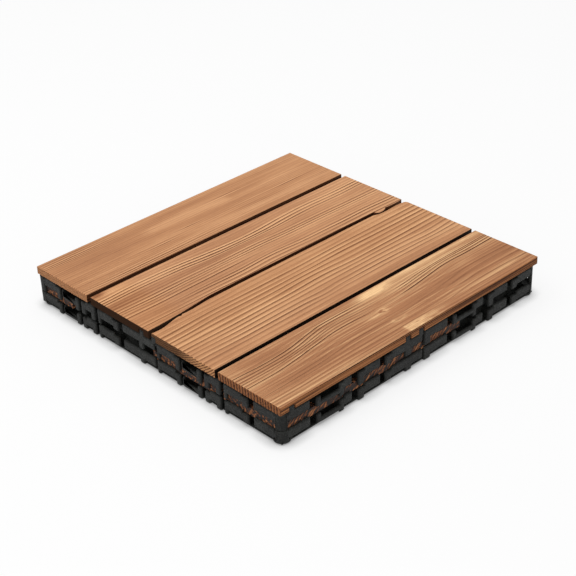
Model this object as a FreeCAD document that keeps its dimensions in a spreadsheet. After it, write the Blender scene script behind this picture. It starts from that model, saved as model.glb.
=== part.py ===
import FreeCAD, Part
import math
import os
from collections import namedtuple

from FreeCAD import Vector

# Interlocking deck tile: four wood slats on a black base of two stacked
# mouldings, with packing boards lying between the mouldings and screws that
# run up from below into the slats.
#
# The origin is on the floor under the middle of the tile. The slats run along
# Y and are counted from -X to +X. Each side of the base has a rim of moulded
# arches. Loops in the -Y and +X sides take the tongues that stand out of the
# +Y and -X sides of the next tile.

SIZES = {
    # slats
    "tile_length": 300.0,
    "slat_width_1": 69.8,
    "slat_width_2": 69.4,
    "slat_width_3": 80.3,
    "slat_width_4": 67.7,
    "slat_gap_1": 4.9,
    "slat_gap_2": 4.0,
    "slat_gap_3": 3.9,
    "slat_thickness": 7.0,
    # heights of the two mouldings and the boards between them
    "lower_height": 13.0,
    "upper_height": 16.0,
    "board_seat_height": 11.0,
    "board_thickness": 7.0,
    "seat_clearance": 0.3,
    # decks of crossing ribs
    "lower_deck_depth": 6.0,
    "upper_deck_depth": 5.0,
    "deck_wall": 1.8,
    "deck_rib": 1.8,
    "deck_cells": 10,
    "upper_deck_columns": 4,
    "skirt_lift": 1.0,
    "ledge_thickness": 1.2,
    # rim around the decks
    "base_inset": 0.3,
    "rim_wall": 1.8,
    "rim_strip": 6.2,
    "rim_reveal": 0.3,
    "shadow_gap": 0.8,
    "corner_radius": 7.4,
    "corner_foot_height": 3.8,
    "corner_foot_flat": 5.4,
    "corner_foot_knee": 6.9,
    "corner_foot_knee_height": 1.1,
    "corner_foot_reveal": 0.6,
    "square_corner_cut": 1.6,
    # arches of the rim
    "bay_pitch": 77.5,
    "bay_offset": 3.0,
    "rail_depth": 8.6,
    "leg_step": 2.0,
    "bar_drop": 6.5,
    "bar_depth": 4.5,
    "leg_clearance": 0.8,
    "short_leg_rise": 3.2,
    "short_foot_rise": 2.0,
    "corner_cut": 1.1,
    "web_thickness": 1.8,
    "foot_block_step": 0.8,
    # tabs that hold the slats' edges
    "tab_width": 6.0,
    "tab_depth": 1.5,
    "tab_root": 3.0,
    "tab_rise": 3.9,
    # tongues that hook into the next tile
    "tile_joint": 1.0,
    "tongue_width": 12.0,
    "tongue_depth": 3.5,
    "tongue_clearance": 0.6,
    "hook_length": 1.6,
    "hook_drop": 1.4,
    # packing boards
    "board_length": 200.0,
    "left_board_width": 41.4,
    "middle_board_width": 74.0,
    "right_board_width": 63.0,
    # hexagon-headed screws, their bosses and holes
    "screw_radius": 1.9,
    "screw_head_radius": 3.7,
    "screw_head_depth": 1.8,
    "slat_cover": 2.6,
    "screw_clearance": 0.3,
    "boss_width": 10.0,
    "boss_clearance": 0.4,
    "screw_row_cells": 4,
    # feet under the middle of the lower moulding
    "inner_foot_width": 9.0,
    "inner_foot_cells": 3,
    # broken edges of the slats
    "splinter_depth": 3.0,
    "chipped_corner": 3.0,
}

doc = FreeCAD.newDocument("deck_tile")
sheet = doc.addObject("Spreadsheet::Sheet", "Sizes")
for row, (alias, number) in enumerate(SIZES.items(), start=1):
    sheet.set("A%d" % row, alias)
    sheet.set("B%d" % row, str(number))
    sheet.setAlias("B%d" % row, alias)
doc.recompute()


def size(alias):
    return float(sheet.get(alias))


# Places worked out from the sizes

slat_widths = [size("slat_width_%d" % number) for number in (1, 2, 3, 4)]
slat_gaps = [size("slat_gap_%d" % number) for number in (1, 2, 3)]
half_width = (sum(slat_widths) + sum(slat_gaps)) / 2
half_length = size("tile_length") / 2

rim_inner = size("base_inset") + size("rim_wall")
deck_inset = rim_inner + size("rim_strip")
cell_inset = deck_inset + size("deck_wall")
corner_end = size("base_inset") + size("corner_radius")
board_inset = rim_inner + size("seat_clearance")

deck_cells = int(size("deck_cells"))
cell_pitch_x = (2 * (half_width - cell_inset) + size("deck_rib")) / deck_cells
cell_pitch_y = (2 * (half_length - cell_inset) + size("deck_rib")) / deck_cells

# Heights, as expressions of the sheet

SLAT_BASE = "(Sizes.lower_height + Sizes.upper_height)"
SLAT_TOP = "(%s + Sizes.slat_thickness)" % SLAT_BASE
UPPER_DECK_BASE = "(%s - Sizes.upper_deck_depth)" % SLAT_BASE
BOARD_TOP = "(Sizes.board_seat_height + Sizes.board_thickness)"
UPPER_BASE = "(%s + Sizes.seat_clearance)" % BOARD_TOP
LOWER_DECK_BASE = "(Sizes.board_seat_height - Sizes.lower_deck_depth)"
STOP_BASE = "(Sizes.board_seat_height + Sizes.seat_clearance)"
UPPER_RIM_TOP = "(%s - Sizes.shadow_gap)" % SLAT_BASE
UPPER_RIM_BASE = "(Sizes.lower_height + Sizes.rim_reveal)"
LOWER_RIM_TOP = "(Sizes.lower_height - Sizes.rim_reveal)"
LOWER_CORE_TOP = "(Sizes.board_seat_height - Sizes.seat_clearance)"
SCREW_HEAD_BASE = "(%s - Sizes.screw_head_depth)" % LOWER_DECK_BASE
SCREW_TIP = "(%s - Sizes.slat_cover)" % SLAT_TOP


def value(expression):
    """Number that an expression of the sheet stands for."""
    return float(sheet.evalExpression(expression))


def slat_edges(number):
    """Left and right edge of a slat, which is counted from 0."""
    left = -half_width + sum(slat_widths[:number]) + sum(slat_gaps[:number])
    return left, left + slat_widths[number]


def slat_middle(number):
    return sum(slat_edges(number)) / 2


# Drawing helpers

def new_body(label):
    body = doc.addObject("PartDesign::Body", label)
    body.Label = label
    return body


def new_sketch(body, name, role, offset, loops):
    """Sketch on one of the body's origin planes, moved along its normal."""
    sketch = body.newObject("Sketcher::SketchObject", name)
    plane = next(item for item in body.Origin.OriginFeatures if item.Role == role)
    sketch.AttachmentSupport = [(plane, "")]
    sketch.MapMode = "FlatFace"
    sketch.setExpression("AttachmentOffset.Base.z", offset)
    for loop in loops:
        sketch.addGeometry(loop, False)
    return sketch


def pad(body, name, role, offset, length, loops, reverse=False):
    sketch = new_sketch(body, name + "_sketch", role, offset, loops)
    feature = body.newObject("PartDesign::Pad", name)
    feature.Profile = sketch
    feature.setExpression("Length", length)
    feature.Reversed = reverse
    doc.recompute()
    return feature


def pocket_up(body, name, base, height, loops):
    """Cut upward from a height, which has to take something away."""
    before = body.Shape.Volume
    sketch = new_sketch(body, name + "_sketch", "XY_Plane", base, loops)
    feature = body.newObject("PartDesign::Pocket", name)
    feature.Profile = sketch
    feature.setExpression("Length", height)
    feature.Reversed = True
    doc.recompute()
    if body.Shape.Volume >= before:
        raise RuntimeError("%s cuts nothing" % name)


def pad_up(body, name, base, top, loops):
    """Pad on the floor plane between two heights."""
    return pad(body, name, "XY_Plane", base, "%s - %s" % (top, base), loops)


def block(name, role, offset, length, loops, reverse=False):
    """Body of one pad, to be joined to others."""
    body = new_body(name)
    pad(body, name + "_pad", role, offset, length, loops, reverse)
    return body


def block_up(name, base, top, loops):
    return block(name, "XY_Plane", base, "%s - %s" % (top, base), loops)


def turned(name, profile, x=0.0, y=0.0):
    """Body turned about an upright axis from a profile of radius and height."""
    body = new_body(name)
    sketch = new_sketch(body, name + "_profile", "XZ_Plane", "%f" % -y, [profile])
    sketch.setExpression("AttachmentOffset.Base.x", "%f" % x)
    feature = body.newObject("PartDesign::Revolution", name + "_turned")
    feature.Profile = sketch
    feature.ReferenceAxis = (sketch, ["V_Axis"])
    feature.Angle = 360.0
    doc.recompute()
    return body


def moulding(label, blocks, cutters):
    """One moulded piece: blocks joined, less the cutters."""
    joined = doc.addObject("Part::MultiFuse", label + "_joined")
    joined.Shapes = blocks
    joined.Refine = True
    piece = doc.addObject("Part::Cut", label)
    piece.Base = joined
    piece.Tool = cutters
    piece.Label = label
    doc.recompute()
    if piece.Shape.Volume >= joined.Shape.Volume:
        raise RuntimeError("the cutters of %s miss it" % label)
    return piece


def polygon(points):
    corners = [Vector(x, y, 0) for x, y in points]
    return [Part.LineSegment(start, end) for start, end in zip(corners, corners[1:] + corners[:1])]


def rectangle(x_low, y_low, x_high, y_high):
    return polygon([(x_low, y_low), (x_high, y_low), (x_high, y_high), (x_low, y_high)])


def square(x, y, width):
    return rectangle(x - width / 2, y - width / 2, x + width / 2, y + width / 2)


def circle(x, y, radius):
    return [Part.Circle(Vector(x, y, 0), Vector(0, 0, 1), radius)]


def curve(points):
    """Smooth open curve through points."""
    spline = Part.BSplineCurve()
    spline.interpolate([Vector(x, y, 0) for x, y in points])
    return spline


def segment(start, end):
    return Part.LineSegment(Vector(start[0], start[1], 0), Vector(end[0], end[1], 0))


# Sides of the base
#
# A side is a row of bays that alternate: one with a loop, one without. A bay
# is a few arches, and an arch is a few columns side by side. A column's start
# and end are counted from the start of its bay, and its top and bottom are
# names of levels.

Column = namedtuple("Column", "start end top bottom")

END_LOOP_BAY = [
    [Column(-1.0, 3.0, "top", "leg"), Column(3.0, 22.0, "top", "rail"), Column(22.0, 27.5, "step", "leg")],
    [Column(30.0, 32.0, "step", "loop"), Column(32.0, 47.5, "bar", "loop"), Column(47.5, 53.0, "step", "leg")],
    [Column(56.0, 62.0, "step", "leg"), Column(62.0, 69.0, "top", "rail"), Column(69.0, 75.0, "top", "leg")],
]
END_PLAIN_BAY = [
    [Column(1.0, 5.0, "top", "leg"), Column(5.0, 21.5, "top", "rail"), Column(21.5, 28.5, "step", "short")],
    [Column(34.0, 54.5, "top", "rail"), Column(54.5, 60.5, "top", "leg"), Column(60.5, 75.0, "top", "rail")],
]
SIDE_LOOP_BAY = [
    [Column(-1.0, 7.0, "top", "leg"), Column(7.0, 27.5, "top", "rail")],
    [Column(34.0, 39.0, "step", "short"), Column(39.0, 58.5, "bar", "loop"),
     Column(58.5, 63.5, "step", "leg"), Column(63.5, 72.0, "top", "rail")],
]
SIDE_PLAIN_BAY = [
    [Column(1.0, 8.0, "step", "leg"), Column(8.0, 26.0, "top", "rail")],
    [Column(31.5, 38.5, "step", "short"), Column(38.5, 54.0, "top", "rail"),
     Column(54.0, 62.0, "top", "leg"), Column(62.0, 75.0, "top", "rail")],
]
# Middles of the tabs, counted from the start of the side
END_TABS = [140.0, 155.0]
SIDE_TABS = [12.0, 138.0, 153.5]

# A column that a rounded corner leaves narrower than this is left out
NARROWEST_REST = 3.0
# An outline's outward corner is cut off where both its sides are at least this long
SHORTEST_CUT_SIDE = 3.0


def side_arches(loop_bay, plain_bay, half):
    """Arches of one side, from its middle, kept between the rounded corners."""
    first = corner_end - half
    last = half - corner_end
    bay_count = math.ceil((2 * half - size("bay_offset")) / size("bay_pitch"))
    arches = []
    for bay in range(bay_count):
        start = size("bay_offset") + bay * size("bay_pitch") - half
        for arch in (loop_bay, plain_bay)[bay % 2]:
            moved = [column._replace(start=start + column.start, end=start + column.end)
                     for column in arch]
            kept = [column for column in moved
                    if (first <= column.start and column.end <= last)
                    or min(column.end, last) - max(column.start, first) > NARROWEST_REST]
            if not kept:
                continue
            if kept[0].start - first < NARROWEST_REST:
                kept[0] = kept[0]._replace(start=first)
            if last - kept[-1].end < NARROWEST_REST:
                kept[-1] = kept[-1]._replace(end=last)
            arches.append(kept)
    return arches


# A side of the base: the plane it is drawn on, which way it faces along the
# plane's normal, how far out it is, its arches and the middles of its tabs
Side = namedtuple("Side", "name role facing reach arches tabs")

end_arches = side_arches(END_LOOP_BAY, END_PLAIN_BAY, half_width)
long_arches = side_arches(SIDE_LOOP_BAY, SIDE_PLAIN_BAY, half_length)
end_tabs = [place - half_width for place in END_TABS]
long_tabs = [place - half_length for place in SIDE_TABS]

# The plane's normal is -Y for the ends and +X for the long sides
SIDES = [
    Side("front", "XZ_Plane", 1, half_length, end_arches, end_tabs),
    Side("back", "XZ_Plane", -1, half_length, end_arches, end_tabs),
    Side("right", "YZ_Plane", 1, half_width, long_arches, long_tabs),
    Side("left", "YZ_Plane", -1, half_width, long_arches, long_tabs),
]


def plan_point(side, along, inset):
    """Plan position of a point of a side, given by its distance from the slats' edge."""
    out = side.facing * (side.reach - inset)
    if side.role == "XZ_Plane":
        return along, -out
    return out, along


def plan_rectangle(side, start, end, inset_low, inset_high):
    x_one, y_one = plan_point(side, start, inset_low)
    x_two, y_two = plan_point(side, end, inset_high)
    return rectangle(min(x_one, x_two), min(y_one, y_two), max(x_one, x_two), max(y_one, y_two))


def level_heights(tier):
    """Heights at which a tier's columns begin and end."""
    if tier == "upper":
        top = value(UPPER_RIM_TOP)
        leg = size("lower_height") + size("leg_clearance")
        short = leg + size("short_leg_rise")
    else:
        top = value(LOWER_RIM_TOP)
        leg = 0.0
        short = size("short_foot_rise")
    bar = top - size("bar_drop")
    return {"top": top, "step": top - size("leg_step"), "rail": top - size("rail_depth"),
            "bar": bar, "loop": bar - size("bar_depth"), "leg": leg, "short": short}


def cut_corners(points, cut):
    """Clockwise outline with its longer-sided outward corners cut off."""
    outline = []
    for index, point in enumerate(points):
        corner = Vector(*point)
        before = Vector(*points[index - 1]) - corner
        after = Vector(*points[(index + 1) % len(points)]) - corner
        inward = before.cross(after).z < 0
        if inward or min(before.Length, after.Length) < SHORTEST_CUT_SIDE:
            outline.append(point)
            continue
        for way in (before, after):
            place = corner + way.normalize() * cut
            outline.append((place.x, place.y))
    return outline


def arch_outline(arch, heights):
    """Outline of an arch on its side's plane."""
    upper_edge = []
    lower_edge = []
    for column in arch:
        for place in (column.start, column.end):
            upper_edge.append((place, heights[column.top]))
            lower_edge.append((place, heights[column.bottom]))
    points = []
    for point in upper_edge + lower_edge[::-1]:
        if points and point == points[-1]:
            continue
        if len(points) > 1 and points[-1][1] == points[-2][1] == point[1]:
            points.pop()
        points.append(point)
    return polygon(cut_corners(points, size("corner_cut")))


def rim(side, tier):
    """One side's arches, drawn on the outer face of the base."""
    heights = level_heights(tier)
    outlines = [arch_outline(arch, heights) for arch in side.arches]
    offset = "%d * (%s - Sizes.base_inset)" % (side.facing, reach_expression(side))
    name = "%s_%s_rim" % (tier, side.name)
    return block(name, side.role, offset, "Sizes.rim_wall", outlines, side.facing > 0)


def reach_expression(side):
    """Distance from the tile's middle out to a side, as an expression of the sheet."""
    if side.role == "XZ_Plane":
        return "Sizes.tile_length / 2"
    widths = ["Sizes.slat_width_%d" % number for number in (1, 2, 3, 4)]
    gaps = ["Sizes.slat_gap_%d" % number for number in (1, 2, 3)]
    return "(%s) / 2" % " + ".join(widths + gaps)


def columns_with(side, tops=None, bottoms=None):
    """Columns of a side with one of the given tops or bottoms."""
    return [column for arch in side.arches for column in arch
            if (tops is None or column.top in tops) and (bottoms is None or column.bottom in bottoms)]


def web_plans(side, bottoms):
    """Plans of the webs that tie a side's legs to the deck."""
    half_web = size("web_thickness") / 2
    plans = []
    for column in columns_with(side, tops=("top", "step"), bottoms=bottoms):
        middle = (column.start + column.end) / 2
        plans.append(plan_rectangle(side, middle - half_web, middle + half_web, rim_inner, deck_inset))
    return plans


# Decks and corners

def deck_plan(columns):
    """Outline and cells of a deck of crossing ribs."""
    loops = [rectangle(deck_inset - half_width, deck_inset - half_length,
                       half_width - deck_inset, half_length - deck_inset)]
    pitch_x = cell_pitch_x * deck_cells / columns
    cell_x = pitch_x - size("deck_rib")
    cell_y = cell_pitch_y - size("deck_rib")
    for column in range(columns):
        for row in range(deck_cells):
            x = cell_inset - half_width + column * pitch_x
            y = cell_inset - half_length + row * cell_pitch_y
            loops.append(rectangle(x, y, x + cell_x, y + cell_y))
    return loops


def wall_plan():
    """Plan of the wall around a deck."""
    return [rectangle(inset - half_width, inset - half_length, half_width - inset, half_length - inset)
            for inset in (deck_inset, cell_inset)]


def ledge_plan():
    """Plan of the ledge that closes the lower rim's strip underneath."""
    return [rectangle(inset - half_width, inset - half_length, half_width - inset, half_length - inset)
            for inset in (rim_inner, deck_inset)]


def loop_floor_plans():
    """Plans of the floors of the pockets behind the loops."""
    return [plan_rectangle(side, bar.start, bar.end, rim_inner, deck_inset)
            for side in SIDES for bar in columns_with(side, tops=("bar",))]


def stop_plan():
    """Plan of the wall that closes the space behind the boards' ends."""
    start = board_inset - half_length + size("board_length") + size("seat_clearance")
    outer_x = half_width - deck_inset
    outer_y = half_length - deck_inset
    inner_x = half_width - cell_inset
    inner_y = half_length - cell_inset
    return [polygon([(-outer_x, start), (-inner_x, start), (-inner_x, inner_y), (inner_x, inner_y),
                     (inner_x, start), (outer_x, start), (outer_x, outer_y), (-outer_x, outer_y)])]


corner_places = [(x * (half_width - corner_end), y * (half_length - corner_end), x, y)
                 for x in (-1, 1) for y in (-1, 1)]


def corner_wall_plans():
    """Plans of the rim's wall where it turns each corner."""
    plans = []
    outer = size("corner_radius")
    inner = outer - size("rim_wall")
    for centre_x, centre_y, way_x, way_y in corner_places:
        ends = {}
        arcs = []
        for radius in (outer, inner):
            start = Vector(centre_x + way_x * radius, centre_y, 0)
            slant = radius * math.sqrt(0.5)
            middle = Vector(centre_x + way_x * slant, centre_y + way_y * slant, 0)
            end = Vector(centre_x, centre_y + way_y * radius, 0)
            arcs.append(Part.Arc(start, middle, end))
            ends[radius] = (start, end)
        plans.append(arcs + [Part.LineSegment(ends[outer][0], ends[inner][0]),
                             Part.LineSegment(ends[outer][1], ends[inner][1])])
    return plans


def corner_core_plans():
    """Plans of the square cores that tie the deck's corners to the corner walls."""
    reach = (size("corner_radius") - size("rim_wall") / 2) * math.sqrt(0.5)
    back = cell_inset - corner_end
    plans = []
    for x, y, way_x, way_y in corner_places:
        xs = sorted((x + way_x * reach, x - way_x * back))
        ys = sorted((y + way_y * reach, y - way_y * back))
        plans.append(rectangle(xs[0], ys[0], xs[1], ys[1]))
    return plans


def square_corner_plan():
    """Plan of the wall round the front left corner, which is nearly square."""
    outer = size("base_inset")
    cut = size("square_corner_cut")
    corners = [(outer + cut, outer), (corner_end, outer), (corner_end, rim_inner), (rim_inner + cut, rim_inner),
               (rim_inner, rim_inner + cut), (rim_inner, corner_end), (outer, corner_end), (outer, outer + cut)]
    return polygon([(x - half_width, y - half_length) for x, y in corners])


# A screw under each end of each slat, on a rib of the decks
screw_rows = [row * size("screw_row_cells") * cell_pitch_y for row in (-1, 1)]
screw_places = [(slat_middle(number), row) for number in range(4) for row in screw_rows]
screw_bore = size("screw_radius") + size("screw_clearance")


def boss_plans():
    return [square(x, y, size("boss_width")) for x, y in screw_places]


def bore_plans(places):
    return [circle(x, y, screw_bore) for x, y in places]


# Upper moulding

def build_upper_grid():
    webs = [plan for side in SIDES for plan in web_plans(side, ("leg", "short", "loop"))]
    blocks = [
        block_up("upper_deck", UPPER_DECK_BASE, SLAT_BASE, deck_plan(int(size("upper_deck_columns")))),
        block_up("upper_skirt", UPPER_BASE, UPPER_DECK_BASE, wall_plan()),
        block_up("board_stop", STOP_BASE, UPPER_BASE, stop_plan()),
        block_up("upper_webs", UPPER_BASE, "(%s - Sizes.leg_step)" % UPPER_RIM_TOP, webs),
        block_up("loop_floors", UPPER_BASE, "(%s + Sizes.ledge_thickness)" % UPPER_BASE, loop_floor_plans()),
        block_up("upper_corner_walls", UPPER_RIM_BASE, UPPER_RIM_TOP, corner_wall_plans()),
        block_up("upper_corner_cores", UPPER_BASE, UPPER_RIM_TOP, corner_core_plans()),
        block_up("upper_square_corner", UPPER_RIM_BASE, UPPER_RIM_TOP, [square_corner_plan()]),
        block_up("upper_bosses", "Sizes.lower_height", SLAT_BASE, boss_plans()),
    ]
    blocks += [rim(side, "upper") for side in SIDES]
    blocks += [tab_block(side) for side in SIDES]
    blocks += [tongue for side in SIDES if side.facing < 0 for tongue in tongue_blocks(side)]
    bores = block_up("upper_bores", "Sizes.lower_height", SLAT_BASE, bore_plans(screw_places))
    return moulding("upper_grid", blocks, bores)


def tab_block(side):
    """Tabs that rise from the rim into the notches of the slats' lower edge."""
    half_tab = size("tab_width") / 2
    base = value(UPPER_RIM_TOP) - size("tab_root")
    top = value(SLAT_BASE) + size("tab_rise")
    tabs = [rectangle(middle - half_tab, base, middle + half_tab, top) for middle in side.tabs]
    offset = "%d * (%s - Sizes.base_inset)" % (side.facing, reach_expression(side))
    return block(side.name + "_tabs", side.role, offset, "Sizes.tab_depth", tabs, side.facing > 0)


def tongue_section():
    """Section of a tongue, as distance out from the slats' edge and height."""
    under = level_heights("upper")["bar"] + size("tongue_clearance")
    top = under + size("tongue_depth")
    hook = size("tile_joint") + rim_inner + size("seat_clearance")
    tip = hook + size("hook_length")
    barb = under - size("hook_drop")
    return [(-deck_inset, under), (hook, under), (hook, barb), ((hook + tip) / 2, barb),
            (tip, under), (tip, top), (-deck_inset, top)]


def tongue_blocks(side):
    """Tongues that stand out over the loops of a side."""
    blocks = []
    for number, bar in enumerate(columns_with(side, tops=("bar",)), start=1):
        middle = (bar.start + bar.end) / 2
        if side.role == "XZ_Plane":
            role = "YZ_Plane"
            outline = [(side.reach + out, height) for out, height in tongue_section()]
        else:
            role = "XZ_Plane"
            middle = -middle
            outline = [(-side.reach - out, height) for out, height in tongue_section()]
        offset = "%f - Sizes.tongue_width / 2" % middle
        name = "%s_tongue_%d" % (side.name, number)
        blocks.append(block(name, role, offset, "Sizes.tongue_width", [polygon(outline)]))
    return blocks


# Lower moulding

def build_lower_grid():
    webs = [plan for side in SIDES for plan in web_plans(side, ("short", "loop"))]
    step = "(%s - Sizes.leg_step)" % LOWER_RIM_TOP
    foot_blocks = [plan for side in SIDES for plan in foot_block_plans(side)]
    blocks = [
        block_up("lower_deck", LOWER_DECK_BASE, "Sizes.board_seat_height", deck_plan(deck_cells)),
        block_up("lower_skirt", "Sizes.skirt_lift", LOWER_DECK_BASE, wall_plan()),
        block_up("lower_ledge", "Sizes.skirt_lift", "(Sizes.skirt_lift + Sizes.ledge_thickness)", ledge_plan()),
        block_up("lower_webs", LOWER_DECK_BASE, step, webs),
        block_up("foot_blocks", "0", step, foot_blocks),
        block_up("lower_corner_walls", "Sizes.corner_foot_height", LOWER_RIM_TOP, corner_wall_plans()),
        block_up("lower_corner_cores", "Sizes.corner_foot_height", LOWER_CORE_TOP, corner_core_plans()),
        block_up("lower_square_corner", "Sizes.short_foot_rise", LOWER_RIM_TOP, [square_corner_plan()]),
        block_up("inner_feet", "0", LOWER_DECK_BASE, inner_foot_plans()),
        block_up("lower_bosses", LOWER_DECK_BASE, "Sizes.lower_height", boss_plans()),
    ]
    blocks += [rim(side, "lower") for side in SIDES]
    blocks += [corner_foot(number, x, y) for number, (x, y, way_x, way_y) in enumerate(corner_places, start=1)]
    bores = block_up("lower_bores", LOWER_DECK_BASE, "Sizes.lower_height", bore_plans(screw_places))
    return moulding("lower_grid", blocks, bores)


def foot_block_plans(side):
    """Plans of the blocks behind a side's long legs, which stand on the floor."""
    step = size("foot_block_step")
    return [plan_rectangle(side, column.start + step, column.end - step, rim_inner, deck_inset)
            for column in columns_with(side, tops=("top", "step"), bottoms=("leg",))]


def corner_foot(number, x, y):
    """Round foot under a corner, turned about its own upright axis."""
    radius = size("corner_radius")
    height = size("corner_foot_height")
    shoulder = height - size("corner_foot_reveal")
    profile = [(0.0, 0.0), (size("corner_foot_flat"), 0.0), (size("corner_foot_knee"), size("corner_foot_knee_height")),
               (radius, shoulder), (radius, height), (0.0, height)]
    return turned("corner_foot_%d" % number, polygon(profile), x, y)


def inner_foot_plans():
    """Plans of the feet under crossings of the ribs, one of them in the middle."""
    spread_x = size("inner_foot_cells") * cell_pitch_x
    spread_y = size("inner_foot_cells") * cell_pitch_y
    places = [(0.0, 0.0)] + [(x * spread_x, y * spread_y) for x in (-1, 1) for y in (-1, 1)]
    return [square(x, y, size("inner_foot_width")) for x, y in places]


# Packing boards

def board_plan(x_low, x_high, corner_x):
    """Plan of a board that starts at the front; corner_x is its side in the rim's corner."""
    y_low = board_inset - half_length
    y_high = y_low + size("board_length")
    radius = size("corner_radius") - size("rim_wall") - size("seat_clearance")
    if corner_x is None:
        return rectangle(x_low, y_low, x_high, y_high)
    way = 1 if corner_x == x_high else -1
    far_x = x_low if corner_x == x_high else x_high
    centre = Vector(corner_x - way * radius, y_low + radius, 0)
    slant = radius * math.sqrt(0.5)
    on_front = (centre.x, y_low)
    on_side = (corner_x, centre.y)
    return [
        segment((far_x, y_low), on_front),
        Part.Arc(Vector(*on_front), centre + Vector(way * slant, -slant, 0), Vector(*on_side)),
        segment(on_side, (corner_x, y_high)),
        segment((corner_x, y_high), (far_x, y_high)),
        segment((far_x, y_high), (far_x, y_low)),
    ]


def build_board(label, x_low, x_high, corner_x):
    body = new_body(label)
    hole = size("boss_width") + 2 * size("boss_clearance")
    y_high = board_inset - half_length + size("board_length")
    holes = [square(x, y, hole) for x, y in screw_places if x_low < x < x_high and y < y_high]
    plan = [board_plan(x_low, x_high, corner_x)] + holes
    pad_up(body, "plank", "Sizes.board_seat_height", BOARD_TOP, plan)
    return body


# Slats
#
# The second gap is ragged at both ends. A point of a broken edge is its
# distance from the slats' end and how far it lies right of the sawn edge.

SLAT_2_FRONT_BREAK = [(0.0, 5.4), (29.0, 4.1), (53.0, 1.9), (70.0, 0.0)]
SLAT_2_BACK_BREAK = [(30.0, 0.0), (22.0, 1.7), (0.0, 1.8)]
SLAT_3_FRONT_SCALLOP = [(0.0, 5.5), (11.0, 6.2), (19.0, 4.6), (29.0, 2.3), (31.5, 2.1)]
SLAT_3_FRONT_NICK = [(33.0, 3.0), (35.0, 1.5)]
SLAT_3_FRONT_SPLIT = [(35.0, 1.5), (43.0, 1.8), (53.0, 1.0), (68.0, 0.0)]
SLAT_3_BACK_SPLIT = [(40.0, 0.0), (33.0, 2.2), (18.0, 2.1), (4.0, 2.6)]
# Splinter that bridges the gap near the back end
SPLINTER = [(35.0, -1.0), (34.6, 2.4), (33.0, 4.2), (31.0, 4.8), (27.0, 4.6), (23.0, 3.0), (20.0, -1.0)]


def from_front(points, edge):
    return [(edge + out, along - half_length) for along, out in points]


def from_back(points, edge):
    return [(edge + out, half_length - along) for along, out in points]


def slat_plan(number):
    left, right = slat_edges(number)
    front_left = (left, -half_length)
    back_left = (left, half_length)
    front_right = (right, -half_length)
    back_right = (right, half_length)
    if number == 1:
        front_break = from_front(SLAT_2_FRONT_BREAK, right)
        back_break = from_back(SLAT_2_BACK_BREAK, right)
        return [
            segment(back_left, front_left),
            segment(front_left, front_break[0]),
            curve(front_break),
            segment(front_break[-1], back_break[0]),
            curve(back_break),
            segment(back_break[-1], back_left),
        ]
    if number == 2:
        scallop = from_front(SLAT_3_FRONT_SCALLOP, left)
        nick = from_front(SLAT_3_FRONT_NICK, left)
        front_split = from_front(SLAT_3_FRONT_SPLIT, left)
        back_split = from_back(SLAT_3_BACK_SPLIT, left)
        chip = (back_split[-1][0] + size("chipped_corner"), half_length)
        bulge = Vector((back_split[-1][0] * 2 + chip[0]) / 3, (back_split[-1][1] + chip[1] * 2) / 3, 0)
        return [
            segment(front_right, scallop[0]),
            curve(scallop),
            segment(scallop[-1], nick[0]),
            segment(nick[0], nick[1]),
            curve(front_split),
            segment(front_split[-1], back_split[0]),
            curve(back_split),
            Part.Arc(Vector(*back_split[-1]), bulge, Vector(*chip)),
            segment(chip, back_right),
            segment(back_right, front_right),
        ]
    return rectangle(left, -half_length, right, half_length)


def build_slat(number):
    body = new_body("slat_%d" % (number + 1))
    pad_up(body, "plank", SLAT_BASE, SLAT_TOP, [slat_plan(number)])
    left, right = slat_edges(number)
    if number == 1:
        splinter = from_back(SPLINTER, right)
        outline = [curve(splinter), segment(splinter[-1], splinter[0])]
        pad_up(body, "splinter", "(%s - Sizes.splinter_depth)" % SLAT_TOP, SLAT_TOP, [outline])
    places = [(x, y) for x, y in screw_places if left < x < right]
    depth = "%s + Sizes.screw_clearance - %s" % (SCREW_TIP, SLAT_BASE)
    pocket_up(body, "screw_holes", SLAT_BASE, depth, bore_plans(places))
    notches = notch_plans(left, right)
    if notches:
        pocket_up(body, "tab_notches", SLAT_BASE, "Sizes.tab_rise + Sizes.seat_clearance", notches)
    return body


def notch_plans(left, right):
    """Plans of the notches for the tabs that reach under a slat."""
    half_notch = size("tab_width") / 2 + size("seat_clearance")
    depth = size("base_inset") + size("tab_depth") + size("seat_clearance")
    plans = []
    for side in SIDES:
        for middle in side.tabs:
            x, y = plan_point(side, middle, depth / 2)
            if left - half_notch < x < right + half_notch:
                plans.append(plan_rectangle(side, middle - half_notch, middle + half_notch, 0.0, depth))
    return plans


# Screws

def build_screws():
    """One screw with a hexagon head, and its copies under the slats."""
    pattern = new_body("screw_pattern")
    reach = size("screw_head_radius")
    turns = [math.radians(60 * corner) for corner in range(6)]
    hexagon = polygon([(reach * math.cos(turn), reach * math.sin(turn)) for turn in turns])
    pad_up(pattern, "head", SCREW_HEAD_BASE, LOWER_DECK_BASE, [hexagon])
    pad_up(pattern, "shank", LOWER_DECK_BASE, SCREW_TIP, [circle(0.0, 0.0, size("screw_radius"))])
    group = doc.addObject("Part::Feature", "slat_screws")
    group.Label = "slat_screws"
    group.Shape = Part.makeCompound([pattern.Shape.translated(Vector(x, y, 0)) for x, y in screw_places])
    return group


# Assembly

left_board = board_inset - half_width
right_board = half_width - board_inset
middle_board = slat_middle(2) - size("middle_board_width") / 2

parts = [build_slat(number) for number in range(4)]
parts.append(build_upper_grid())
parts.append(build_lower_grid())
parts.append(build_board("packing_board_left", left_board, left_board + size("left_board_width"), left_board))
parts.append(build_board("packing_board_middle", middle_board, middle_board + size("middle_board_width"), None))
parts.append(build_board("packing_board_right", right_board - size("right_board_width"), right_board, right_board))
parts.append(build_screws())
doc.recompute()

for item in doc.Objects:
    if "Invalid" in item.State or "Error" in item.State:
        raise RuntimeError("%s could not be built: %s" % (item.Label, item.State))

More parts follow.
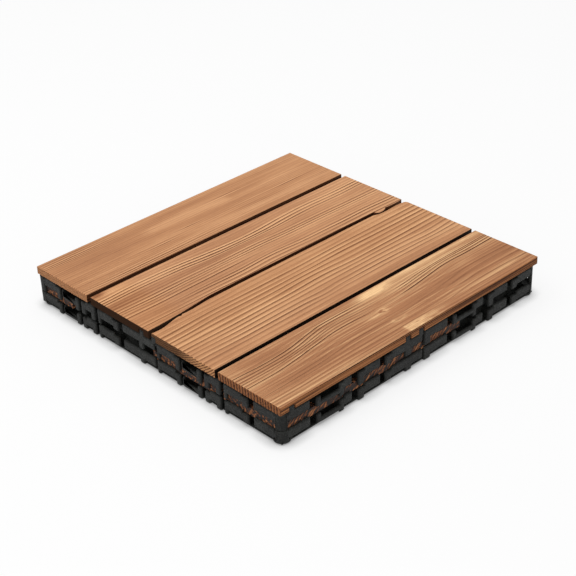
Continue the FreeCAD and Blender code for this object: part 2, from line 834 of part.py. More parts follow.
os.makedirs("parts", exist_ok=True)
for part in parts:
    if part.Shape.isNull() or not part.Shape.isValid():
        raise RuntimeError("%s has no valid shape" % part.Label)
    part.Shape.exportStep("parts/%s.step" % part.Label)
    print(part.Label, len(part.Shape.Solids), round(part.Shape.Volume, 1))
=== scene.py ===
import math
from collections import namedtuple

import bmesh
import bpy
import numpy as np
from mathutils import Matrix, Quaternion, Vector


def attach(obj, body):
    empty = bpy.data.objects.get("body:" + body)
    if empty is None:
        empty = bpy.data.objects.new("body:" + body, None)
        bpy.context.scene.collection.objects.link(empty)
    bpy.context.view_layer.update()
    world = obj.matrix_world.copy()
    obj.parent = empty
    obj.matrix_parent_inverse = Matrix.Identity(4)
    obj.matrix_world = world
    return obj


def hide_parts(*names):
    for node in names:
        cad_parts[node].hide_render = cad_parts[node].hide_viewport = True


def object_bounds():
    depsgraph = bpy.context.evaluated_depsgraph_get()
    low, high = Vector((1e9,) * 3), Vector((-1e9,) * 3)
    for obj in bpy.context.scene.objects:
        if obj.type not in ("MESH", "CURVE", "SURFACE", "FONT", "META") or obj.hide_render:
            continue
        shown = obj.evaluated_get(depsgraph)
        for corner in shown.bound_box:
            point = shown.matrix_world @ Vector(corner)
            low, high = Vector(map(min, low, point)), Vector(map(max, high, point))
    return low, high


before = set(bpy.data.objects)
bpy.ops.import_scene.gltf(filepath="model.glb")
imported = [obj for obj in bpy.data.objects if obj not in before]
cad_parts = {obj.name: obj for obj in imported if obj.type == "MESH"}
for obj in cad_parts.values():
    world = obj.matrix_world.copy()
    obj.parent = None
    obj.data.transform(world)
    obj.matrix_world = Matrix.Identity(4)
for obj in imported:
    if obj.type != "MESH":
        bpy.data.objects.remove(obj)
cad_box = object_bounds()

# Metres in a millimetre. The sizes below are in millimetres unless the name says otherwise, the angles in
# radians.
MM = 0.001

SLAT_TOP = cad_box[1][2] / MM
FRONT_FACE = cad_box[0][1] / MM

# How close to the front or the top a point counts as lying on it
END_SKIN = 1.0
TOP_SKIN = 0.05

# Edges that lie whole in the top half millimetre of a slat are eased by a little less than that
TOP_EDGE_DEPTH = 0.5
TOP_EDGE_EASE = 0.45

# The steps of the fine mesh along X, Y and Z, and the depth of the deepest dark line
GRAIN_GRID = (0.7, 2.5, 1.4)
GRAIN_DEPTH = 0.18

# Edges of the base that lie farther out than this are rounded
RIM_FACE = 149.6
RIM_ROUND = 1.4

WELD_METRES = 1e-6
CUT_METRES = 1e-7
FLAT_ANGLE = math.radians(1)
SLAT_SHARP_ANGLE = math.radians(30)
RIM_SHARP_ANGLE = math.radians(35)


# Materials

def rgb(red, green, blue):
    """Linear colour of a display colour that is written from 0 to 255."""
    parts = []
    for value in (red, green, blue):
        value = value / 255
        if value <= 0.04045:
            parts.append(value / 12.92)
        else:
            parts.append(((value + 0.055) / 1.055) ** 2.4)
    return (parts[0], parts[1], parts[2], 1.0)


class Shade:
    """Builds one procedural material."""

    def __init__(self, name):
        self.material = bpy.data.materials.new(name)
        self.material.use_nodes = True
        self.tree = self.material.node_tree
        self.bsdf = self.tree.nodes["Principled BSDF"]
        self.coords = self.tree.nodes.new("ShaderNodeTexCoord").outputs["Object"]

    def put(self, socket, value):
        """Links another node's output to a socket, or sets a plain value."""
        if isinstance(value, bpy.types.NodeSocket):
            self.tree.links.new(value, socket)
        else:
            socket.default_value = value

    def vector_math(self, operation, first, second):
        node = self.tree.nodes.new("ShaderNodeVectorMath")
        node.operation = operation
        self.put(node.inputs[0], first)
        self.put(node.inputs[1], second)
        return node.outputs[0]

    def math(self, operation, first, second=0.0, clamp=False):
        node = self.tree.nodes.new("ShaderNodeMath")
        node.operation = operation
        node.use_clamp = clamp
        self.put(node.inputs[0], first)
        self.put(node.inputs[1], second)
        return node.outputs[0]

    def add(self, first, second):
        return self.math("ADD", first, second)

    def multiply(self, first, second, clamp=False):
        return self.math("MULTIPLY", first, second, clamp)

    def turned(self, angle):
        """Object coordinates, turned about X."""
        turn = self.tree.nodes.new("ShaderNodeVectorRotate")
        turn.rotation_type = "X_AXIS"
        turn.inputs["Angle"].default_value = angle
        self.put(turn.inputs["Vector"], self.coords)
        return turn.outputs[0]

    def noise(self, scales, shift, detail, roughness=0.5, place=None):
        """Noise with a number of waves per millimetre along each axis, shifted to a stretch of its own."""
        if place is None:
            place = self.coords
        waves = self.vector_math("MULTIPLY", place, [scale / MM for scale in scales])
        node = self.tree.nodes.new("ShaderNodeTexNoise")
        self.put(node.inputs["Vector"], self.vector_math("ADD", waves, shift))
        node.inputs["Scale"].default_value = 1.0
        node.inputs["Detail"].default_value = detail
        node.inputs["Roughness"].default_value = roughness
        return node.outputs["Fac"]

    def attribute(self, name):
        """One of the values that the mesh itself carries."""
        node = self.tree.nodes.new("ShaderNodeAttribute")
        node.attribute_name = name
        return node.outputs["Fac"]

    def ramp(self, factor, stops):
        """Values or colours by position."""
        node = self.tree.nodes.new("ShaderNodeValToRGB")
        self.put(node.inputs[0], factor)
        points = node.color_ramp.elements
        while len(points) < len(stops):
            points.new(0.5)
        for point, (position, colour) in zip(points, stops):
            point.position = position
            if isinstance(colour, float):
                colour = (colour, colour, colour, 1.0)
            point.color = colour
        return node.outputs[0]

    def mix(self, factor, first, second):
        node = self.tree.nodes.new("ShaderNodeMix")
        node.data_type = "RGBA"
        self.put(node.inputs["Factor"], factor)
        self.put(node.inputs["A"], first)
        self.put(node.inputs["B"], second)
        return node.outputs["Result"]

    def facing(self, axis):
        """1 on the faces that look along an axis, either way, and 0 on the others."""
        geometry = self.tree.nodes.new("ShaderNodeNewGeometry")
        parts = self.tree.nodes.new("ShaderNodeSeparateXYZ")
        self.put(parts.inputs[0], geometry.outputs["True Normal"])
        return self.ramp(self.math("ABSOLUTE", parts.outputs[axis]), [(0.55, 0.0), (0.75, 1.0)])

    def bump(self, height, distance, strength):
        node = self.tree.nodes.new("ShaderNodeBump")
        node.inputs["Distance"].default_value = distance
        node.inputs["Strength"].default_value = strength
        self.put(node.inputs["Height"], height)
        return node.outputs[0]

    def finish(self, colour, roughness, normal, **others):
        """Fills the shader's own sockets, and gives the finished material."""
        self.put(self.bsdf.inputs["Base Color"], colour)
        self.put(self.bsdf.inputs["Roughness"], roughness)
        self.put(self.bsdf.inputs["Normal"], normal)
        for name, value in others.items():
            self.put(self.bsdf.inputs[name.replace("_", " ")], value)
        return self.material


SOOT = rgb(71, 50, 38)
# Painted shade for the slats' long sides, where they face the dark gaps between the slats
GAP_SHADE_BROWN = rgb(62, 30, 15)
GAP_SHADE_BLACK = rgb(13, 10, 8)

ACROSS_FACES = 0
END_FACES = 1

# Dark lines and pale ridges by the share of a ring's width
LATE_WOOD = [(0.0, 0.55), (0.10, 0.12), (0.70, 0.0), (0.80, 0.85), (0.88, 1.0), (1.0, 0.55)]
PALE_RIDGE = [(0.0, 0.0), (0.16, 0.1), (0.48, 0.75), (0.66, 1.0), (0.76, 0.0), (1.0, 0.0)]
END_LINES = [(0.0, 0.1), (0.4, 0.15), (0.7, 1.0), (0.9, 1.0), (1.0, 0.1)]


def end_grain(shade, looks, seed, grit):
    """Colour of a slat's sawn ends: rings, grit and soot."""
    wobble = shade.noise((0.5, 0.5, 0.5), (seed, 2, 2), detail=2.0)
    phase = shade.math("FRACT", shade.add(shade.attribute("end_ring"), shade.multiply(wobble, 0.9)))
    colour = shade.mix(shade.ramp(phase, END_LINES), looks.end, looks.end_line)
    colour = shade.mix(shade.ramp(grit, [(0.50, 0.0), (0.66, 0.6)]), colour, looks.end_line)
    patchy = shade.ramp(grit, [(0.56, 1.0), (0.72, 0.5)])
    soot = shade.multiply(shade.attribute("soot"), patchy, clamp=True)
    return shade.mix(soot, colour, SOOT)


def long_side(shade, looks, seed):
    """Colour of a slat's long sides: streaks from end to end, the side colour as painted shade for the gaps
    between the slats, and soot.
    """
    streak = shade.noise((0.9, 0.004, 0.9), (seed, 6, 6), detail=3.0, roughness=0.6)
    colour = shade.ramp(streak, [(0.40, rgb(44, 21, 12)), (0.46, rgb(96, 56, 33)), (0.57, rgb(202, 134, 86))])
    # Painted shade: the side colour darkens the long sides where they face the gaps between the slats
    colour = shade.mix(looks.side_share, colour, looks.side)
    return shade.mix(shade.attribute("soot"), colour, SOOT)


def slat_material(name, looks, seed):
    """Oiled softwood whose rings are the mesh's own "ring" values."""
    shade = Shade(name)

    # A ring is a pale ridge that ends in a thin dark line
    wobble = shade.noise((0.5, 0.02, 0.5), (seed, 0, 0), detail=2.0)
    phase = shade.math("FRACT", shade.add(shade.attribute("ring"), shade.multiply(wobble, 0.14)))
    strength = shade.attribute("line")
    late = shade.multiply(shade.ramp(phase, LATE_WOOD), strength)
    ridge = shade.multiply(shade.ramp(phase, PALE_RIDGE), strength)

    # Long fibres, fine streaks, pores and clouds
    fibre = shade.noise((0.95, 0.012, 0.95), (seed, 3, 1), detail=5.0, roughness=0.65)
    streak = shade.noise((0.42, 0.007, 0.42), (seed, 7, 2), detail=3.0, roughness=0.55)
    pore = shade.noise((3.6, 0.11, 3.6), (seed, 11, 5), detail=2.0)
    cloud = shade.noise((0.03, 0.011, 0.03), (seed, 0, 9), detail=2.0)
    dash = shade.ramp(pore, [(0.60, 0.0), (0.70, 1.0)])

    # The top, by its tone
    tone = shade.attribute("tone")
    for texture, share in ((streak, looks.streak), (fibre, 0.95), (cloud, 0.4)):
        tone = shade.add(tone, shade.multiply(shade.math("SUBTRACT", texture, 0.5), share))
    tone = shade.add(tone, shade.multiply(ridge, looks.ridge))
    colour = shade.ramp(tone, [(0.0, looks.dark), (0.45, looks.base), (1.0, looks.light)])
    colour = shade.mix(shade.multiply(late, 0.9, clamp=True), colour, looks.line)
    colour = shade.mix(shade.multiply(dash, 0.2), colour, looks.line)

    # The ends and the long sides have a figure of their own
    at_end = shade.facing(END_FACES)
    grit = shade.noise((1.6, 0.6, 1.6), (seed, 4, 4), detail=3.0, roughness=0.7)
    colour = shade.mix(at_end, colour, end_grain(shade, looks, seed, grit))
    colour = shade.mix(shade.facing(ACROSS_FACES), colour, long_side(shade, looks, seed))

    relief = shade.add(shade.multiply(late, -0.8), shade.multiply(fibre, 0.55))
    relief = shade.add(relief, shade.multiply(dash, -0.3))
    relief = shade.math("SUBTRACT", relief, shade.multiply(shade.multiply(grit, at_end), 1.2))
    rough = shade.ramp(fibre, [(0.3, 0.54), (0.7, 0.68)])
    unburnt = shade.math("SUBTRACT", 1.0, shade.attribute("soot"), clamp=True)
    return shade.finish(colour, rough, shade.bump(relief, 0.00022, 0.75),
                        Specular_IOR_Level=shade.multiply(unburnt, 0.12))


def board_material(name, seed):
    """Raw, rough-sawn wood with slanting strokes, darkened to near black in places by painted shade for the
    inside of the base.
    """
    shade = Shade(name)
    slant = shade.turned(math.radians(-40))
    fibre = shade.noise((1.1, 0.03, 1.1), (seed, 0, 0), detail=5.0, roughness=0.65)
    stroke = shade.noise((0.45, 0.14, 0.62), (seed, 5, 0), detail=3.0, place=slant)
    saw = shade.noise((0.05, 0.9, 0.05), (seed, 8, 0), detail=2.0)
    tone = shade.add(shade.multiply(fibre, 0.25), shade.multiply(stroke, 0.75))
    # Painted shade: the near-black stops stand for the shade inside the base
    colour = shade.ramp(tone, [(0.45, rgb(17, 9, 5)), (0.51, rgb(70, 37, 20)), (0.57, rgb(150, 90, 52)),
                               (0.67, rgb(206, 142, 94))])
    relief = shade.add(shade.multiply(fibre, 0.8), shade.multiply(saw, 0.4))
    return shade.finish(colour, 0.72, shade.bump(relief, 0.0005, 0.8))


def plastic_material(name, seed):
    """Black plastic: matt, faintly grainy and cloudy, with a few brown specks."""
    shade = Shade(name)
    grain = shade.noise((0.8, 0.8, 0.8), (seed, 0, 0), detail=4.0, roughness=0.7)
    cloud = shade.noise((0.09, 0.09, 0.09), (seed, 2, 0), detail=4.0, roughness=0.6)
    speck = shade.noise((0.9, 0.9, 0.9), (seed, 4, 0), detail=2.0)
    tone = shade.add(shade.multiply(cloud, 0.5), shade.multiply(grain, 0.5))
    colour = shade.ramp(tone, [(0.34, rgb(19, 19, 18)), (0.50, rgb(31, 32, 30)), (0.66, rgb(58, 60, 57))])
    colour = shade.mix(shade.ramp(speck, [(0.64, 0.0), (0.72, 0.4)]), colour, rgb(58, 36, 26))
    rough = shade.ramp(grain, [(0.35, 0.62), (0.65, 0.42)])
    relief = shade.add(grain, shade.multiply(cloud, 0.8))
    return shade.finish(colour, rough, shade.bump(relief, 0.0006, 0.7), Specular_IOR_Level=0.2)


def steel_material(name):
    """Zinc-plated steel, dulled."""
    shade = Shade(name)
    cloud = shade.noise((0.4, 0.4, 0.4), (0, 0, 0), detail=4.0, roughness=0.6)
    brush = shade.noise((5.0, 5.0, 0.5), (0, 0, 0), detail=2.0)
    colour = shade.ramp(cloud, [(0.35, rgb(150, 150, 148)), (0.65, rgb(196, 196, 198))])
    rough = shade.ramp(cloud, [(0.3, 0.34), (0.7, 0.52)])
    return shade.finish(colour, rough, shade.bump(brush, 0.0001, 0.4), Metallic=1.0)


# Shapes that the wood grain is drawn with

def lattice(ix, iy, seed):
    """Repeatable values from 0 to 1 on a lattice, scattered by large odd factors."""
    n = ix.astype(np.int64) * 374761393 + iy.astype(np.int64) * 668265263 + seed * 144665
    n = (n ^ (n >> 13)) * 1274126177
    n = n ^ (n >> 16)
    return (n & 0xFFFF) / 65535.0


def soft_noise(x, y, seed):
    """Smooth values from -1 to 1."""
    ix, iy = np.floor(x), np.floor(y)
    fx, fy = x - ix, y - iy
    ux, uy = fx * fx * (3 - 2 * fx), fy * fy * (3 - 2 * fy)
    low = lattice(ix, iy, seed) * (1 - ux) + lattice(ix + 1, iy, seed) * ux
    high = lattice(ix, iy + 1, seed) * (1 - ux) + lattice(ix + 1, iy + 1, seed) * ux
    return 2 * (low * (1 - uy) + high * uy) - 1


def ease(value, start, end):
    """0 before the start and 1 past the end, smoothly."""
    share = np.clip((value - start) / (end - start), 0, 1)
    return share * share * (3 - 2 * share)


def fade(value, start, end):
    """1 before the start and 0 past the end, smoothly."""
    return 1 - ease(value, start, end)


def band(x, low, high, edge=1.5):
    """1 between two lines along the slat."""
    return ease(x, low - edge, low + edge) * fade(x, high - edge, high + edge)


def hump(value, middle, width):
    """1 at a middle value, and soon 0 on both sides of it."""
    return np.exp(-((value - middle) / width) ** 2)


def blob(x, y, across, along, wide, long):
    """A soft patch, 1 in its middle."""
    return hump(x, across, wide) * hump(y, along, long)


def patches(x, y, rows):
    """Soft patches together. A row is a strength, a middle across and along, a width and a length."""
    total = 0 * x
    for strength, across, along, wide, long in rows:
        total = total + strength * blob(x, y, across, along, wide, long)
    return total


def ring_strength(ring, seed):
    """How marked each ring is, the same all along it. It changes between two dark lines."""
    number = np.floor(ring + 0.6)
    return 0.45 + 0.55 * lattice(number, 0 * number, seed)


# The figure of each slat. For each point of its mesh it gives the ring, how marked the lines are, the tone
# from dark to light, the soot, and the ring on the sawn ends.

def grain_1(x, y, z):
    """Plain, with fine lines along both edges, a few dashes and a pale lens."""
    drift = 0.9 * soft_noise(x / 30, y / 60, 11) + 0.8 * soft_noise(x / 7, y / 300, 14)
    ring = (x + drift) / 2.7

    line = 0.20 + 0.40 * np.clip(soft_noise(x / 6, y / 50, 12), 0, 1)
    line += patches(x, y, ((1.5, -85, -75, 6, 80), (1.2, -142, -118, 7, 36)))
    line *= ring_strength(ring, 15)
    for across, along, reach in ((-101, -52, 16), (-109, -14, 12), (-106.8, 104, 18), (-130, 50, 14)):
        line += blob(x, y, across, along, 1.6, reach)

    lens = ease(y, -58, -40) * fade(y, 40, 50) * band(x - 2.5 * ease(y, -50, 40), -131, -122, 3)
    tone = 0.49 + 0.09 * soft_noise(x / 7, y / 60, 13) - 0.12 * fade(y, -110, -20)
    tone += 0.26 * lens * (1 + 0.3 * soft_noise(x / 3, y / 25, 16))
    tone += patches(x, y, ((-0.16, -126, -120, 16, 50), (0.24, -98, -95, 2.5, 50), (0.22, -92, 90, 4, 70),
                           (0.20, -121, 110, 5, 40), (-0.18, -138, 10, 4, 40)))

    soot = 0.0 * x
    end_ring = (x + 1.2 * (z - SLAT_TOP)) / 2.8
    return ring, line, tone, soot, end_ring


def grain_2(x, y, z):
    """Lines in groups, with plain bands between; the front is charred."""
    left_half = ease(-x, 42, 54)
    left_bow = 6 * hump(y, 5, 62) + 3 * ease(y, 40, 140)
    right_bow = 2.6 * ease(y, -20, 150)
    bow = left_half * left_bow + (1 - left_half) * right_bow
    level = x - bow - 0.9 * soft_noise(x / 16, y / 38, 21)
    ring = (level + soft_noise(level / 8, y / 400, 24)) / 3.7

    line = 0.36 + band(level, -66, -54) * (1 - 0.4 * ease(y, 30, 90))
    line += band(level, -43, -33) * (1 - 0.3 * ease(y, -20, 40))
    line += 0.8 * band(level, -33, -25) * ease(-y, -10, 60)
    line += 0.7 * band(level, -20, -12) * ease(y, -110, -80)
    line += 0.6 * band(level, -12, -6)
    line *= 1.15 - 0.25 * fade(y, -110, -30)
    line *= ring_strength(ring, 25) * (1 + 0.3 * soft_noise(x / 12, y / 50, 22))

    tone = 0.45 + 0.10 * soft_noise(x / 8, y / 90, 23) + 0.09 * ease(y, -40, 60)
    tone += 0.22 * band(level, -66, -60) - 0.18 * band(level, -52, -43) * fade(y, -40, 80)
    tone += patches(x, y, ((0.30, -70, -132, 4, 16), (-0.7, -73, -144, 3, 6)))

    charred = np.clip((-104 - y) / 14, 0, 1)
    soot = np.where(y < FRONT_FACE + END_SKIN, 1.0, charred)
    end_ring = (x + z) / 2.4
    return ring, line, tone, soot, end_ring


def grain_3(x, y, z):
    """Sharp ridges from end to end."""
    drift = 2.8 * (y + 150) / 300 + soft_noise(x / 18, y / 48, 31) + 0.5 * soft_noise(x / 8, y / 260, 35)
    drift -= patches(x, y, ((1.6, 61, -15, 6, 15), (1.8, 55, 122, 8, 22)))
    ring = (x + drift) / 5.25

    line = 0.32 + 0.62 * band(x + drift, 13, 69, 3)
    line *= 0.25 + 0.75 * ring_strength(ring, 36) + 0.25 * soft_noise(x / 10, y / 45, 32)
    line -= patches(x, y, ((0.15, 66, 70, 10, 80), (0.1, 14, 70, 8, 60)))

    tone = 0.49 + 0.08 * soft_noise(x / 9, y / 90, 33) - 0.18 * band(x, 71, 82) * ease(y, -60, 40)

    soot = np.clip((61 - x) / 33, 0, 0.80)
    end_ring = np.hypot(x - 16, 1.4 * (z - 68)) / 2.5
    return ring, line, tone, soot, end_ring


KNOT_ACROSS = 114.0
KNOT_ALONG = -3.0


def flame_level(x, y):
    """Distance across slat_4, with its lines bent to the left before the knot and once more behind it."""
    front_start = -125 + 25 * ease(-x, -112, -100)
    front_bend = 7.0 * ease(y, front_start, -45) * ease(x, 80, 92) * fade(x, 112, 148)
    back_bend = 6.5 * ease(y, 22, 105) * ease(x, 83, 97) * fade(x, 114, 150)
    return x + front_bend + back_bend + 1.1 * soft_noise(x / 14, y / 40, 41)


def knot_tone(x, y):
    """The pale tail and heart of the knot, its dark ring, and the pale oval beside it."""
    tone = 0.30 * blob(x - 0.06 * y, y, 116, -13, 2.0, 9)
    tone += 0.34 * blob(x, y, 113.5, -2, 3.2, 4.5)
    tone -= 0.8 * hump(np.hypot(x - 113.6, (y - KNOT_ALONG) / 1.2), 1.5, 0.6)
    from_oval = np.hypot((y + 1) / 2.6 + 0.15 * (x - 130), x - 130)
    tone += 0.20 * hump(from_oval, 2.8, 0.7) * ease(x - 0.3 * y, 127, 131)
    return tone


def worn_tone(x, y):
    """The pale patches, worn and broken, at slat_4's two long edges."""
    broken = 1 + 0.5 * soft_noise(x / 1.6, y / 5, 47)
    tone = 0.62 * blob(x, y, 88.5, 13, 4.2, 15) * broken
    tone += 0.13 * band(x, 83, 92) * ease(y, -12, 12)
    tone += 0.13 * band(x, 83, 88) * ease(y, 8, 40) * broken
    tone += 0.40 * band(x, 141, 153) * ease(y, -10.5, -8.5) * fade(y, 2, 48) * broken
    return tone


def grain_4(x, y, z):
    """Flame figure round a small knot, with pale worn patches."""
    level = flame_level(x, y)
    knot = np.hypot((y - KNOT_ALONG) / 1.5, x - KNOT_ACROSS)
    ring = (level + 1.2 * soft_noise(level / 7, y / 400, 45)) / 3.3 + 1.2 * hump(knot, 0, 5)

    line = 0.32 + 0.04 * band(x, 116, 150)
    line += 0.9 * band(level, 97, 117) * fade(y, -35, 5)
    line += 1.2 * band(level, 103, 116) * ease(y, 22, 45)
    line += 0.25 * band(level, 124, 150) * fade(y, -20, 20)
    line += 0.15 * band(level, 131, 137) * ease(y, 20, 40)
    line += 0.3 * band(x, 126, 146) * ease(y, 40, 90)
    line *= ring_strength(ring, 46) * (1 + 0.35 * soft_noise(x / 10, y / 40, 42))
    line *= 1 - 0.7 * hump(knot, 0, 8)

    tone = 0.49 + 0.10 * soft_noise(x / 10, y / 60, 43)
    tone += knot_tone(x, y) + worn_tone(x, y)
    tone -= patches(x, y, ((0.24, 124, 70, 8, 85), (0.20, 124, -75, 18, 60)))

    soot = np.where(y < FRONT_FACE + END_SKIN, 0.15, 0.0)
    end_ring = x / 3.1 + 0.03 * z + 0.3 * soft_noise(x / 8, z / 20, 44)
    return ring, line, tone, soot, end_ring


GRAINS = {"slat_1": grain_1, "slat_2": grain_2, "slat_3": grain_3, "slat_4": grain_4}

# How deep the surface sinks, by the share of a ring's width
RELIEF = ((0.0, 0.5), (0.16, 0.3), (0.6, 0.0), (0.7, 0.1), (0.82, 0.9), (0.9, 1.0), (1.0, 0.5))


def grain_relief(ring, line):
    """How far the surface sinks at the dark lines, in millimetres."""
    shares, depths = zip(*RELIEF)
    profile = np.interp(ring - np.floor(ring), shares, depths)
    return GRAIN_DEPTH * profile * np.clip(line, 0, 1)


# Pieces that stand in for nodes

def solid_copy(node, name):
    """A copy of a node's mesh, and the same mesh for working on, with its flat faces whole again."""
    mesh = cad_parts[node].data.copy()
    mesh.name = name
    work = bmesh.new()
    work.from_mesh(mesh)
    bmesh.ops.remove_doubles(work, verts=work.verts, dist=WELD_METRES)
    bmesh.ops.dissolve_limit(work, angle_limit=FLAT_ANGLE, verts=work.verts, edges=work.edges)
    return mesh, work


def sharp_edges(work, angle):
    """Edges whose two faces meet at more than an angle."""
    return [edge for edge in work.edges if len(edge.link_faces) == 2 and edge.calc_face_angle(0) > angle]


def bevel_inside(work, edges, width, segments, clamp):
    """Bevels edges and keeps every point inside the box that the solid had. Gives that box's corners."""
    points = np.array([v.co[:] for v in work.verts])
    low, high = points.min(axis=0), points.max(axis=0)
    bmesh.ops.bevel(work, geom=edges, offset=width * MM, segments=segments, profile=0.5, affect="EDGES",
                    clamp_overlap=clamp)
    for v in work.verts:
        v.co = np.clip(v.co[:], low, high)
    return low, high


def cut_grid(work, low, high):
    """Cuts the faces into a fine grid, so that they can carry grain."""
    for axis, step in enumerate(GRAIN_GRID):
        count = int((high[axis] - low[axis]) / (step * MM))
        normal = Vector([1.0 if i == axis else 0.0 for i in range(3)])
        for number in range(1, count):
            place = low[axis] + (high[axis] - low[axis]) * number / count
            geom = work.verts[:] + work.edges[:] + work.faces[:]
            bmesh.ops.bisect_plane(work, geom=geom, dist=CUT_METRES, plane_co=normal * place, plane_no=normal)


def to_mesh(work, mesh):
    """Writes the worked mesh back and frees it."""
    work.normal_update()
    work.to_mesh(mesh)
    work.free()


def add_grain(mesh, grain):
    """Sinks the top along the dark lines, and keeps the grain's values in the mesh for its material."""
    points = np.empty(len(mesh.vertices) * 3)
    mesh.vertices.foreach_get("co", points)
    points = points.reshape(-1, 3)
    ring, line, tone, soot, end_ring = grain(*(points.T / MM))
    top = points[:, 2] / MM > SLAT_TOP - TOP_SKIN
    points[top, 2] -= grain_relief(ring, line)[top] * MM
    mesh.vertices.foreach_set("co", points.ravel())
    layers = {"ring": ring, "line": line, "tone": tone, "soot": soot, "end_ring": end_ring}
    for name, values in layers.items():
        layer = mesh.attributes.new(name, "FLOAT", "POINT")
        layer.data.foreach_set("value", np.asarray(values, dtype=np.float32))
    mesh.update()


def stand_in(node, mesh, material):
    """Puts a finished mesh in the place of a node."""
    piece = bpy.data.objects.new(mesh.name, mesh)
    bpy.context.scene.collection.objects.link(piece)
    mesh.materials.clear()
    mesh.materials.append(material)
    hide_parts(node)
    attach(piece, "root")


def slat_piece(node, material):
    """The slat's own solid, with eased top edges, a fine mesh and grain relief."""
    mesh, work = solid_copy(node, node + "_grained")
    lowest = (SLAT_TOP - TOP_EDGE_DEPTH) * MM
    edges = sharp_edges(work, SLAT_SHARP_ANGLE)
    top_edges = [edge for edge in edges if min(v.co.z for v in edge.verts) > lowest]
    low, high = bevel_inside(work, top_edges, TOP_EDGE_EASE, segments=2, clamp=True)
    cut_grid(work, low, high)
    bmesh.ops.triangulate(work, faces=[face for face in work.faces if len(face.verts) > 4])
    to_mesh(work, mesh)
    add_grain(mesh, GRAINS[node])
    stand_in(node, mesh, material)


def on_rim_face(edge):
    """Whether an edge lies in the outer face of a side of the base."""
    across = min(abs(v.co.x) for v in edge.verts)
    along = min(abs(v.co.y) for v in edge.verts)
    return max(across, along) > RIM_FACE * MM


def moulding_piece(node, material):
    """The moulding's own solid, with the rounded edges of its outer arches."""
    mesh, work = solid_copy(node, node + "_rounded")
    outer_edges = [edge for edge in sharp_edges(work, RIM_SHARP_ANGLE) if on_rim_face(edge)]
    bevel_inside(work, outer_edges, RIM_ROUND, segments=3, clamp=False)
    bmesh.ops.triangulate(work, faces=work.faces[:])
    to_mesh(work, mesh)
    stand_in(node, mesh, material)


def dress(node, material):
    """Gives a CAD node its material."""
    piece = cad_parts[node]
    if not piece.material_slots:
        piece.data.materials.append(material)
    for place in piece.material_slots:
        place.material = material


# A slat's side colour, laid on its long sides by side_share, is painted shade for the gaps between the slats
Looks = namedtuple("Looks", "light base dark line streak ridge end end_line side side_share")
WOODS = {
    "slat_1": Looks(light=rgb(226, 172, 126), base=rgb(190, 136, 95), dark=rgb(158, 107, 74),
                    line=rgb(110, 66, 40), streak=0.6, ridge=0.55,
                    end=rgb(250, 181, 127), end_line=rgb(130, 80, 50), side=GAP_SHADE_BROWN, side_share=0.85),
    "slat_2": Looks(light=rgb(232, 178, 130), base=rgb(188, 134, 95), dark=rgb(152, 102, 70),
                    line=rgb(98, 58, 35), streak=0.5, ridge=0.45,
                    end=rgb(120, 68, 40), end_line=rgb(30, 16, 10), side=GAP_SHADE_BROWN, side_share=0.85),
    "slat_3": Looks(light=rgb(236, 184, 135), base=rgb(190, 136, 96), dark=rgb(158, 108, 74),
                    line=rgb(92, 54, 32), streak=0.3, ridge=0.42,
                    end=rgb(255, 188, 130), end_line=rgb(108, 62, 36), side=GAP_SHADE_BLACK, side_share=0.97),
    "slat_4": Looks(light=rgb(248, 203, 150), base=rgb(178, 124, 86), dark=rgb(142, 94, 63),
                    line=rgb(88, 50, 30), streak=0.75, ridge=0.22,
                    end=rgb(198, 129, 82), end_line=rgb(76, 40, 23), side=GAP_SHADE_BROWN, side_share=0.0),
}
for number, (node, looks) in enumerate(WOODS.items()):
    slat_piece(node, slat_material(node + "_oiled_wood", looks, seed=3.1 + 4.6 * number))
for number, node in enumerate(("packing_board_left", "packing_board_middle", "packing_board_right")):
    dress(node, board_material(node + "_raw_wood_with_painted_shade", seed=2.0 + 5 * number))
moulding_piece("upper_grid", plastic_material("upper_black_plastic", seed=1.0))
moulding_piece("lower_grid", plastic_material("lower_black_plastic", seed=9.0))
dress("slat_screws", steel_material("zinc_steel"))


# Stage

FLOOR_HALF_METRES = 9
PAINTED_SHADOW_METRES = 0.011

# The floor reflects little light and shows its own white instead. Of the glow and the sky, 1 is white.
FLOOR_SHADE = 0.18
FLOOR_GLOW = 0.790
SKY_LIGHT = 0.55
SKY_SEEN = 0.98


def floor_material():
    """Pale paper whose own white shows, dimmed close under the tile by a painted contact shadow."""
    shade = Shade("pale_floor")
    # Painted shadow: ambient occlusion dims the floor's glow close under the tile
    painted_shadow = shade.tree.nodes.new("ShaderNodeAmbientOcclusion")
    painted_shadow.samples = 16
    painted_shadow.inputs["Distance"].default_value = PAINTED_SHADOW_METRES
    unshadowed_share = shade.ramp(painted_shadow.outputs["AO"], [(0.35, 0.35), (0.95, 1.0)])
    path = shade.tree.nodes.new("ShaderNodeLightPath")
    seen = path.outputs["Is Camera Ray"]
    for ray in ("Is Glossy Ray", "Is Transmission Ray"):
        seen = shade.math("MAXIMUM", seen, path.outputs[ray])
    glow = shade.multiply(shade.multiply(seen, FLOOR_GLOW), unshadowed_share)
    paper = shade.noise((0.3, 0.3, 0.3), (0, 0, 0), detail=2.0)
    return shade.finish((FLOOR_SHADE, FLOOR_SHADE, FLOOR_SHADE, 1), 0.9, shade.bump(paper, 0.00005, 0.2),
                        Specular_IOR_Level=0.1, Emission_Color=(1, 1, 1, 1), Emission_Strength=glow)


def lay_floor():
    """A wide floor under the tile, which belongs to the stage and not to the model."""
    reach = FLOOR_HALF_METRES
    floor_mesh = bpy.data.meshes.new("floor")
    corners = [(-reach, -reach, 0), (reach, -reach, 0), (reach, reach, 0), (-reach, reach, 0)]
    floor_mesh.from_pydata(corners, [], [(0, 1, 2, 3)])
    floor_mesh.materials.append(floor_material())
    floor = bpy.data.objects.new("floor", floor_mesh)
    bpy.context.scene.collection.objects.link(floor)


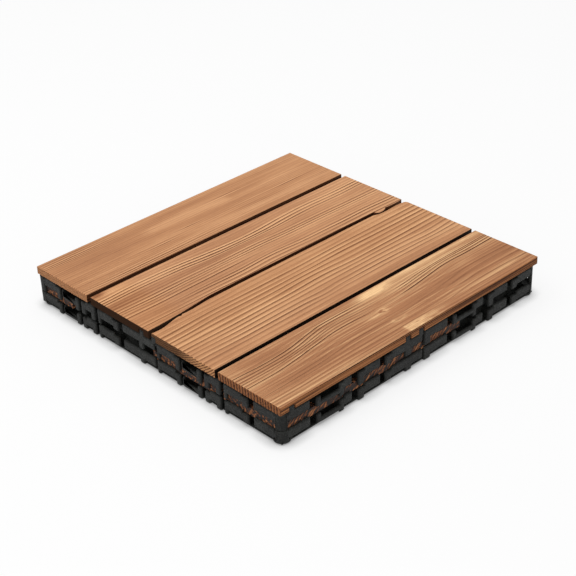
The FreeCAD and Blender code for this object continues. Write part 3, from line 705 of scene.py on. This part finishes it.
def soft_box(name, place, size, power):
    """A square lamp that looks at the tile. Place and size are in metres, the power is in watts."""
    lamp = bpy.data.lights.new(name, "AREA")
    lamp.shape = "SQUARE"
    lamp.size = size
    lamp.energy = power
    holder = bpy.data.objects.new(name, lamp)
    holder.location = place
    aim = Vector((0, 0, 0.02)) - Vector(place)
    holder.rotation_mode = "QUATERNION"
    holder.rotation_quaternion = aim.to_track_quat("-Z", "Y")
    bpy.context.scene.collection.objects.link(holder)


def set_sky():
    """An even white sky, brighter where the camera sees it than in the light that it gives."""
    world = bpy.context.scene.world or bpy.data.worlds.new("studio")
    bpy.context.scene.world = world
    world.use_nodes = True
    nodes = world.node_tree.nodes
    sky = nodes["Background"]
    sky.inputs["Color"].default_value = (1, 1, 1, 1)
    path = nodes.new("ShaderNodeLightPath")
    level = nodes.new("ShaderNodeMapRange")
    level.inputs["To Min"].default_value = SKY_LIGHT
    level.inputs["To Max"].default_value = SKY_SEEN
    world.node_tree.links.new(path.outputs["Is Camera Ray"], level.inputs["Value"])
    world.node_tree.links.new(level.outputs["Result"], sky.inputs["Strength"])


# The camera was fitted to the slats' corners in the photograph, on the footing that the top is a square. Its
# place is in metres, its lens in millimetres.
CAMERA_PLACE = (0.76598, -0.70934, 0.63677)
CAMERA_TURN = (0.804258, 0.447485, 0.205571, 0.332667)
CAMERA_LENS = 88.92
CAMERA_SENSOR = 36.0


def set_camera():
    """The photograph's own view."""
    lens = bpy.data.cameras.new("photo_view")
    lens.sensor_width = CAMERA_SENSOR
    lens.lens = CAMERA_LENS
    lens.clip_start = 0.05
    lens.clip_end = 50.0
    camera = bpy.data.objects.new("photo_view", lens)
    camera.location = CAMERA_PLACE
    camera.rotation_mode = "QUATERNION"
    camera.rotation_quaternion = Quaternion(CAMERA_TURN)
    bpy.context.scene.collection.objects.link(camera)
    bpy.context.scene.camera = camera


lay_floor()
soft_box("key", (-0.25, -0.3, 1.7), size=2.0, power=21)
soft_box("fill", (1.1, -1.1, 0.7), size=0.8, power=3)
set_sky()
set_camera()
bpy.context.scene.view_settings.view_transform = "Standard"
